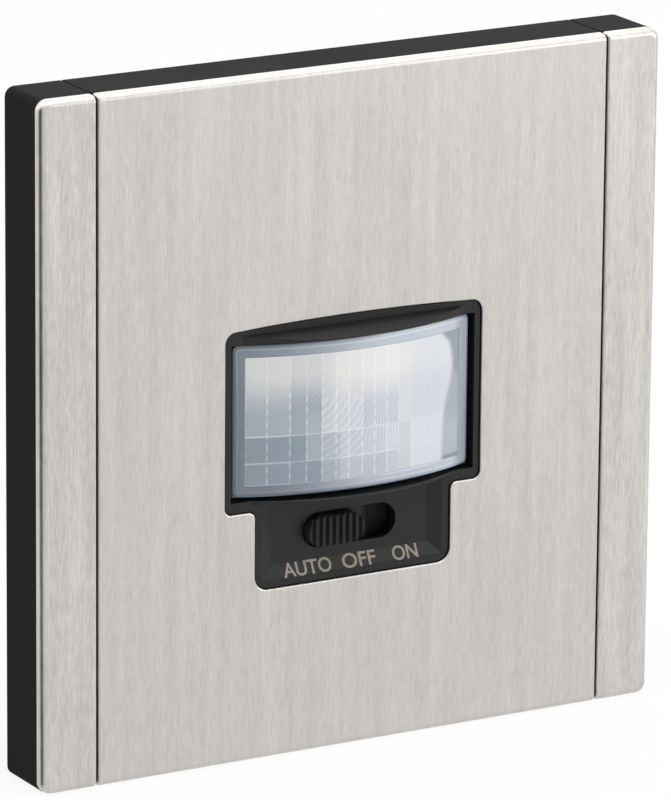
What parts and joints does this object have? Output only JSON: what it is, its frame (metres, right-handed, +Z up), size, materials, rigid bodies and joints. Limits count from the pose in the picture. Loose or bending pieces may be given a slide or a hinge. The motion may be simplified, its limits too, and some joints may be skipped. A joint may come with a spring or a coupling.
{
  "type": "motion sensor light switch",
  "caption": "Square flush wall switch with brushed steel strips, a bowed motion sensor lens and a sliding auto, off and on knob.",
  "frame": {"origin": "midway between the two box-screw slots, on the mounting frame's back face", "axes": "+Z up; +Y into the wall, along the box screws; +X to the right seen from the room"},
  "size_m": [0.086, 0.0391, 0.086],
  "materials": {
    "steel_skin": "vertically brushed",
    "black_shell": "fine moulded texture",
    "bezel_black": "satin moulded",
    "knob_black": "satin moulded",
    "lens_white": "milky translucent",
    "inner_white": "moulded",
    "housing_grey": "moulded",
    "board_green": "solder mask",
    "component_black": "moulded epoxy",
    "component_blue": "dipped",
    "component_yellow": "moulded box",
    "relay_blue": "moulded box",
    "metal_can": "drawn",
    "fuse_brown": "lacquered",
    "ferrite": "pressed ferrite",
    "lamp_red": "clear tinted",
    "screw_steel": "zinc plated",
    "cage_brass": "stamped",
    "contact_copper": "stamped"
  },
  "bodies": {
    "root": {"mounting_frame": "black_shell", "cover_carrier": "black_shell", "cover_plate": "steel_skin", "left_trim_carrier": "black_shell", "left_trim_strip": "steel_skin", "right_trim_carrier": "black_shell", "right_trim_strip": "steel_skin", "sensor_bezel": "bezel_black", "fresnel_lens": "lens_white", "lens_retainer": "inner_white", "module_front": "housing_grey", "rear_housing": "housing_grey", "frame_screws": "screw_steel", "housing_screws": "screw_steel", "sensor_board": "board_green", "pyro_sensor": "metal_can", "light_sensor": "component_yellow", "status_lamp": "lamp_red", "controller_chip": "component_black", "slide_switch_body": "component_black", "time_trimmer_body": "component_blue", "lux_trimmer_body": "component_blue", "board_header": "component_black", "power_board": "board_green", "relay": "relay_blue", "film_capacitor": "component_yellow", "bulk_capacitor": "metal_can", "varistor": "component_blue", "fuse": "fuse_brown", "choke": "ferrite", "terminal_block": "housing_grey", "terminal_contacts": "contact_copper"},
    "knob": {"switch_knob": "knob_black"},
    "slider": {"slide_switch_actuator": "component_black"},
    "time_rotor": {"time_trimmer_rotor": "inner_white"},
    "lux_rotor": {"lux_trimmer_rotor": "inner_white"},
    "live_screw": {"terminal_screw_live": "screw_steel"},
    "live_cage": {"terminal_cage_live": "cage_brass"},
    "neutral_screw": {"terminal_screw_neutral": "screw_steel"},
    "neutral_cage": {"terminal_cage_neutral": "cage_brass"},
    "load_screw": {"terminal_screw_load": "screw_steel"},
    "load_cage": {"terminal_cage_load": "cage_brass"}
  },
  "joints": [
    {"name": "knob_slide", "type": "slide", "parent": "root", "child": "knob", "axis": [1, 0, 0], "range_m": [0, 0.0048]},
    {"name": "slider_slide", "type": "slide", "parent": "root", "child": "slider", "axis": [1, 0, 0], "range_m": [0, 0.0048]},
    {"name": "time_trimmer_turn", "type": "hinge", "parent": "root", "child": "time_rotor", "pos_m": [-0.0178, 0, -0.0156], "axis": [0, -1, 0], "range_deg": [-120, 120]},
    {"name": "lux_trimmer_turn", "type": "hinge", "parent": "root", "child": "lux_rotor", "pos_m": [0.0178, 0, -0.0156], "axis": [0, -1, 0], "range_deg": [-120, 120]},
    {"name": "live_screw_turn", "type": "hinge", "parent": "root", "child": "live_screw", "pos_m": [-0.01, 0.023, -0.0205], "axis": [0, -1, 0], "range_deg": [0, 1440]},
    {"name": "live_cage_rise", "type": "slide", "parent": "root", "child": "live_cage", "axis": [0, 1, 0], "range_m": [0, 0.0024]},
    {"name": "neutral_screw_turn", "type": "hinge", "parent": "root", "child": "neutral_screw", "pos_m": [0, 0.023, -0.0205], "axis": [0, -1, 0], "range_deg": [0, 1440]},
    {"name": "neutral_cage_rise", "type": "slide", "parent": "root", "child": "neutral_cage", "axis": [0, 1, 0], "range_m": [0, 0.0024]},
    {"name": "load_screw_turn", "type": "hinge", "parent": "root", "child": "load_screw", "pos_m": [0.01, 0.023, -0.0205], "axis": [0, -1, 0], "range_deg": [0, 1440]},
    {"name": "load_cage_rise", "type": "slide", "parent": "root", "child": "load_cage", "axis": [0, 1, 0], "range_m": [0, 0.0024]}
  ],
  "couplings": [
    {"joint": "slider_slide", "follows": "knob_slide", "ratio": 1},
    {"joint": "live_screw_turn", "follows": "live_cage_rise", "rad_per_m": 10472},
    {"joint": "neutral_screw_turn", "follows": "neutral_cage_rise", "rad_per_m": 10472},
    {"joint": "load_screw_turn", "follows": "load_cage_rise", "rad_per_m": 10472}
  ]
}
